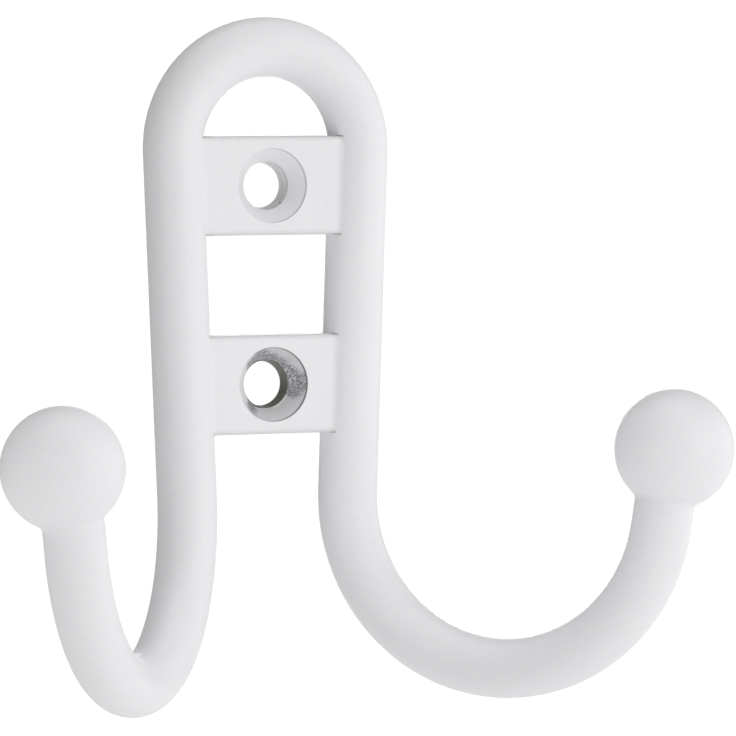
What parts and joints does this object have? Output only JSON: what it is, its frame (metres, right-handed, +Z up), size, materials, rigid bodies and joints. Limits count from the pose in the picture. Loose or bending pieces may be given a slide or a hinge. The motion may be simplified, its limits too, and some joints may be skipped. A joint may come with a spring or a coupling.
{
  "type": "double hook",
  "caption": "White cast wall hook: an arched round bar with a flat back, screw plates with countersunk holes between its legs, and ball-tipped arms that curve forwards and outwards.",
  "frame": {"origin": "on the wall plane, midway between the screw holes", "axes": "+Z up, +X to the right for someone facing the wall, +Y into the wall, so that the arms reach out towards -Y"},
  "size_m": [0.0818, 0.0359, 0.0725],
  "materials": {
    "white_paint": "satin white powder coat on a cast body"
  },
  "bodies": {
    "root": {"double_hook": "white_paint"}
  },
  "joints": []
}
